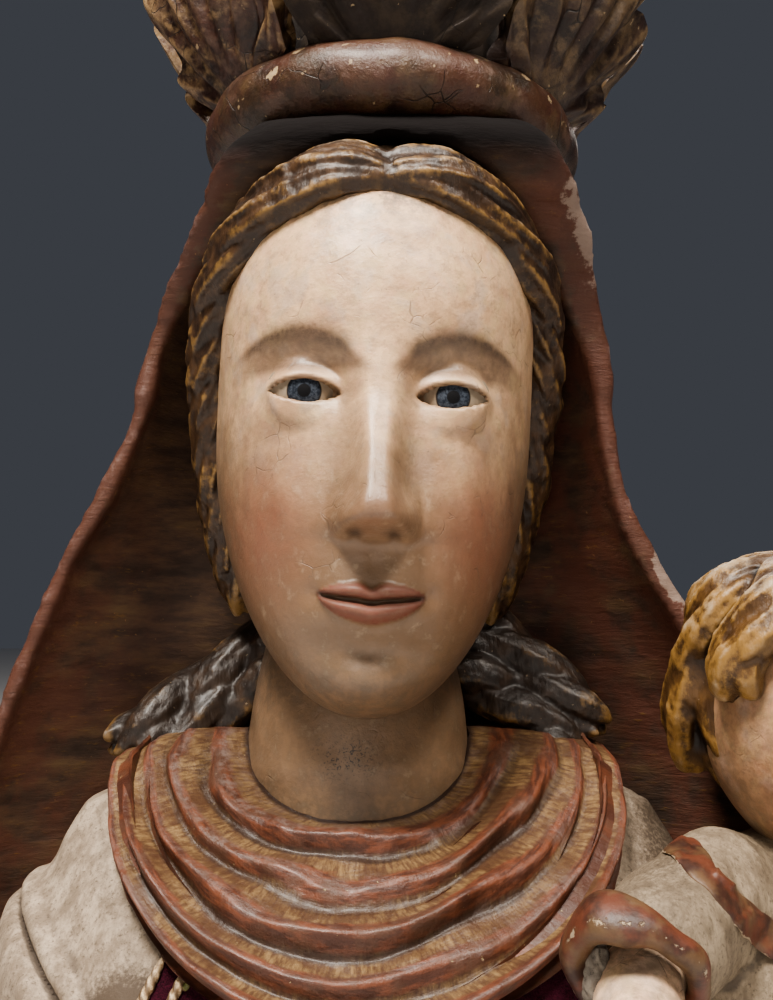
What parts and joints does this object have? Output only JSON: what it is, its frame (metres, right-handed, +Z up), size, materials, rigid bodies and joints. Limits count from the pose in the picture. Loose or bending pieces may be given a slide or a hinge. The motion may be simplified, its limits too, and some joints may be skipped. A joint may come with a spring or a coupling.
{
  "type": "wooden saint statue",
  "caption": "Bust of a crowned wooden saint under a long veil, with a ridged collar, a cloth panel on the chest and a small child held at one side, cut flat below.",
  "frame": {"origin": "on the flat underside, midway across the saint's shoulders and under the neck", "axes": "+Z up, -Y the way the face looks, +X towards the child"},
  "size_m": [0.2462, 0.1866, 0.297],
  "materials": {
    "painted_carving": "aged glossy flesh paint, worn red and gold on the veil and collar, chalky white dress",
    "crown_gilding": "red-brown bole and worn gold over chipped gesso, glossy",
    "child_paint": "aged paint: ochre gold hair, flesh, chalky robe with red-brown trims",
    "flesh_paint": "pale flesh paint with grey wear, satin",
    "velvet": "deep purple velvet with couched cream and gold cord"
  },
  "bodies": {
    "root": {"saint_figure": "painted_carving", "crown": "crown_gilding", "child_figure": "child_paint", "child_forearm": "flesh_paint", "velvet_panel": "velvet"}
  },
  "joints": []
}
